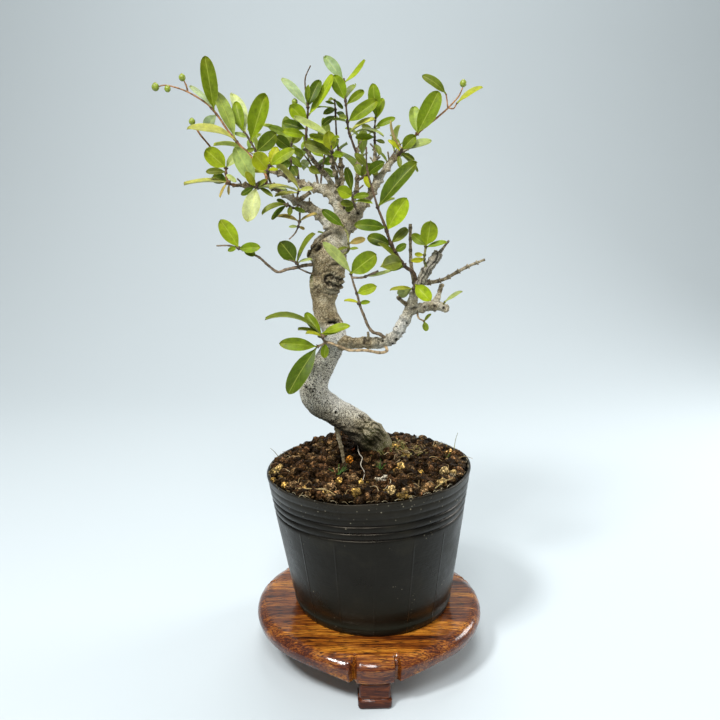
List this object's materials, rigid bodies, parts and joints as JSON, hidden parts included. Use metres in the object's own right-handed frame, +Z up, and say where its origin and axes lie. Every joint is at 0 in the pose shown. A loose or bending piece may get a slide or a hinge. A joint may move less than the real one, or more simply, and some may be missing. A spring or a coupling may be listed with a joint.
{
  "type": "border privet bonsai",
  "caption": "Border privet bonsai with a bent grey trunk and small opposite leaves, in a thin ribbed nursery pot on a round lacquered wooden stand.",
  "frame": {"origin": "middle of the underside of the whole plant's box, on the surface that the stand's feet rest on", "axes": "+Z up; the picture looks along +Y, with +X to its right"},
  "size_m": [0.1626, 0.1198, 0.3013],
  "materials": {
    "stand_wood": "glossy brown lacquer over straight dark grain",
    "pot_plastic": "thin black nursery plastic, dusty and softly shiny",
    "soil": "dark crumbly potting grains with ochre grit",
    "bark": "grey-beige bark, finely mottled dark",
    "leaves": "smooth leathery green leaves, softly shiny"
  },
  "bodies": {
    "root": {"stand_board": "stand_wood", "stand_foot_front": "stand_wood", "stand_foot_right": "stand_wood", "stand_foot_left": "stand_wood", "pot": "pot_plastic", "soil": "soil", "tree": "bark", "low_twig": "leaves", "front_left_twig": "leaves", "front_right_twig": "leaves", "right_sprig": "leaves", "knee_sprig": "leaves", "stub_leaf": "leaves", "under_sprig": "leaves", "low_left_twig": "leaves", "fork_leaf": "leaves", "hanging_twig": "leaves", "left_under": "leaves", "left_middle": "leaves", "left_pale": "leaves", "left_yellow": "leaves", "left_tip": "leaves", "long_shoot": "leaves", "crown_left": "leaves", "crown_back_left": "leaves", "top_left": "leaves", "crown_front": "leaves", "top_middle": "leaves", "top_right": "leaves", "top_far_right": "leaves", "right_knee": "leaves", "right_tip": "leaves", "fork_spray": "leaves", "inner_right": "leaves", "inner_left": "leaves", "back_left": "leaves", "back_left_inner": "leaves", "back_middle": "leaves", "back_high": "leaves", "back_right": "leaves", "back_far_right": "leaves", "back_trunk": "leaves"}
  },
  "joints": []
}
